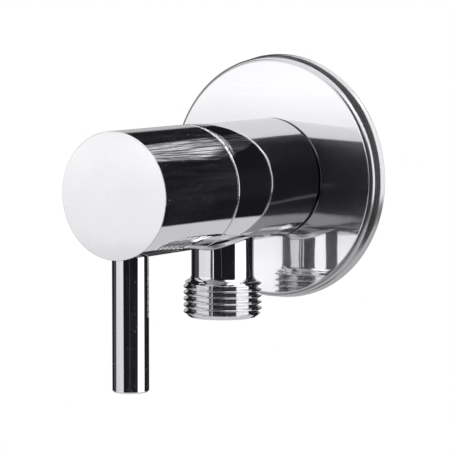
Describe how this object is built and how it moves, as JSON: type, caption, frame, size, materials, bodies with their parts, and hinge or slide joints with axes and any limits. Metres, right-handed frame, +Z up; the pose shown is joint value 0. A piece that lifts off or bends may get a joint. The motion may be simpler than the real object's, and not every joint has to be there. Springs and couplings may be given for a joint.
{
  "type": "angle valve",
  "caption": "Chromed angle valve with wall rosette, cylindrical quarter-turn handle with a lever pin, downward threaded outlet and threaded inlet shank.",
  "frame": {"origin": "on the valve axis at the wall plane, which is the back of the rosette and the start of the inlet thread", "axes": "+Z up, +Y along the valve axis into the wall, handle towards -Y, outlet towards -Z"},
  "size_m": [0.0534, 0.0712, 0.0671],
  "materials": {
    "chrome": "polished plating",
    "brass": "turned",
    "steel": "plain",
    "rubber": "matt",
    "ceramic": "lapped",
    "plastic": "moulded"
  },
  "bodies": {
    "valve": {"valve_body": "chrome", "outlet_branch": "chrome", "inlet_seal_ring": "plastic", "cartridge_bonnet": "brass", "bonnet_o_ring": "rubber", "seat_gasket": "rubber", "ceramic_disc_fixed": "ceramic", "stop_ring": "brass"},
    "handle": {"handle": "chrome", "handle_insert": "plastic", "handle_glide_ring": "plastic", "lever_stud": "steel", "lever_pin": "chrome", "spindle": "brass", "thrust_washer": "plastic", "spindle_o_ring_rear": "rubber", "spindle_o_ring_front": "rubber", "spindle_clip": "steel", "ceramic_disc_moving": "ceramic"},
    "rosette": {"rosette": "chrome", "rosette_grip_ring": "rubber"}
  },
  "joints": [
    {"name": "handle_turn", "type": "hinge", "parent": "valve", "child": "handle", "pos_m": [0, -0.048, 0], "axis": [0, 1, 0], "range_deg": [0, 90]},
    {"name": "rosette_slide", "type": "slide", "parent": "valve", "child": "rosette", "axis": [0, 1, 0], "range_m": [0, 0.008]}
  ]
}
